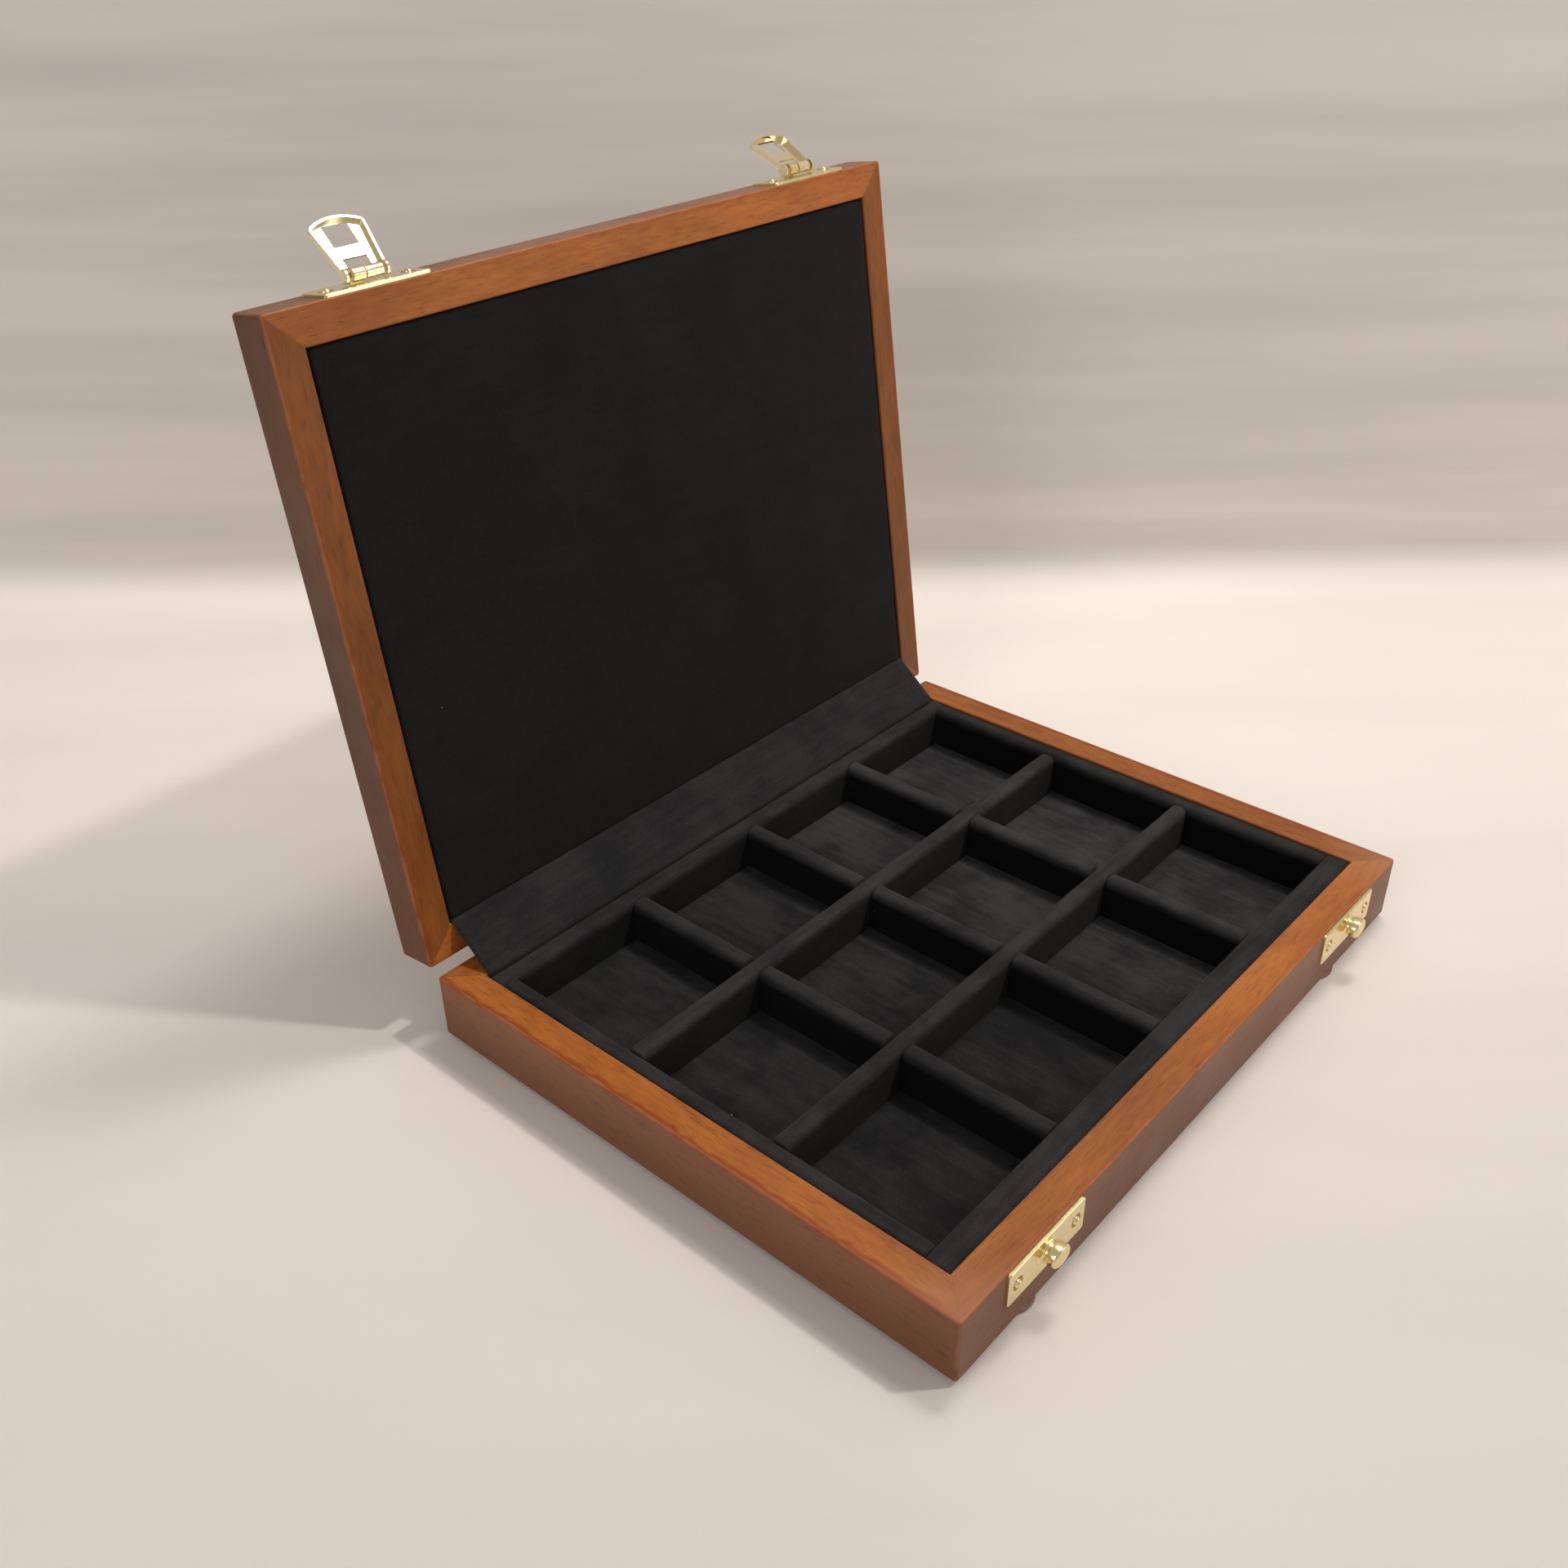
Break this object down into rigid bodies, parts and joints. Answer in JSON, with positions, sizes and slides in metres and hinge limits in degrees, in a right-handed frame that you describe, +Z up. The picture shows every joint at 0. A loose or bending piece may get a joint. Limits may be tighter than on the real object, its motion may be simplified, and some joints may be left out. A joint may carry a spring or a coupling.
{
  "type": "coin display case",
  "caption": "Shallow mitred wooden case with a hinged padded lid, velour compartments for coin capsules and brass hasps that drop over knobs; shown standing open.",
  "frame": {"origin": "middle of the base's flat underside, between the four pads", "axes": "+X along the hinge to the user's right, +Y from the latches back to the hinge, +Z up; the lid is stored standing open"},
  "size_m": [0.25, 0.255, 0.2372],
  "materials": {
    "stained_wood": "satin stain",
    "panel_wood": "satin stain",
    "black_velour": "matt pile",
    "polished_brass": "polished",
    "foot_pad": "matt",
    "foam": "open foam"
  },
  "bodies": {
    "base": {"base_front_rail": "stained_wood", "base_rear_rail": "stained_wood", "base_left_rail": "stained_wood", "base_right_rail": "stained_wood", "base_bottom_panel": "panel_wood", "front_left_foot": "foot_pad", "front_right_foot": "foot_pad", "rear_left_foot": "foot_pad", "rear_right_foot": "foot_pad", "tray_floor": "black_velour", "tray_front_border": "black_velour", "tray_rear_border": "black_velour", "tray_left_border": "black_velour", "tray_right_border": "black_velour", "long_divider_front": "black_velour", "long_divider_rear": "black_velour", "short_divider_left": "black_velour", "short_divider_middle": "black_velour", "short_divider_right": "black_velour", "hinge_cover_strip": "black_velour", "left_catch_plate": "polished_brass", "right_catch_plate": "polished_brass", "left_catch_knob": "polished_brass", "right_catch_knob": "polished_brass", "catch_nails": "polished_brass", "left_hinge_base_leaf": "polished_brass", "right_hinge_base_leaf": "polished_brass", "left_hinge_pin": "polished_brass", "right_hinge_pin": "polished_brass", "base_hinge_nails": "polished_brass"},
    "lid": {"lid_front_rail": "stained_wood", "lid_rear_rail": "stained_wood", "lid_left_rail": "stained_wood", "lid_right_rail": "stained_wood", "lid_top_panel": "panel_wood", "lid_lining_board": "black_velour", "lid_foam_pad": "foam", "left_latch_plate": "polished_brass", "right_latch_plate": "polished_brass", "latch_nails": "polished_brass", "left_hasp_pin": "polished_brass", "right_hasp_pin": "polished_brass", "left_hinge_lid_leaf": "polished_brass", "right_hinge_lid_leaf": "polished_brass", "lid_hinge_nails": "polished_brass"},
    "left_hasp": {"left_hasp": "polished_brass"},
    "right_hasp": {"right_hasp": "polished_brass"}
  },
  "joints": [
    {"name": "lid_hinge", "type": "hinge", "parent": "base", "child": "lid", "pos_m": [0, 0.10105, 0.0217], "axis": [1, 0, 0], "range_deg": [0, 97.5], "deforming": ["hinge_cover_strip"]},
    {"name": "left_hasp_pivot", "type": "hinge", "parent": "lid", "child": "left_hasp", "pos_m": [-0.088, 0.13452, 0.2223], "axis": [1, 0, 0], "range_deg": [-51.5, 128.5]},
    {"name": "right_hasp_pivot", "type": "hinge", "parent": "lid", "child": "right_hasp", "pos_m": [0.088, 0.13452, 0.2223], "axis": [1, 0, 0], "range_deg": [-33.5, 146.5]}
  ]
}
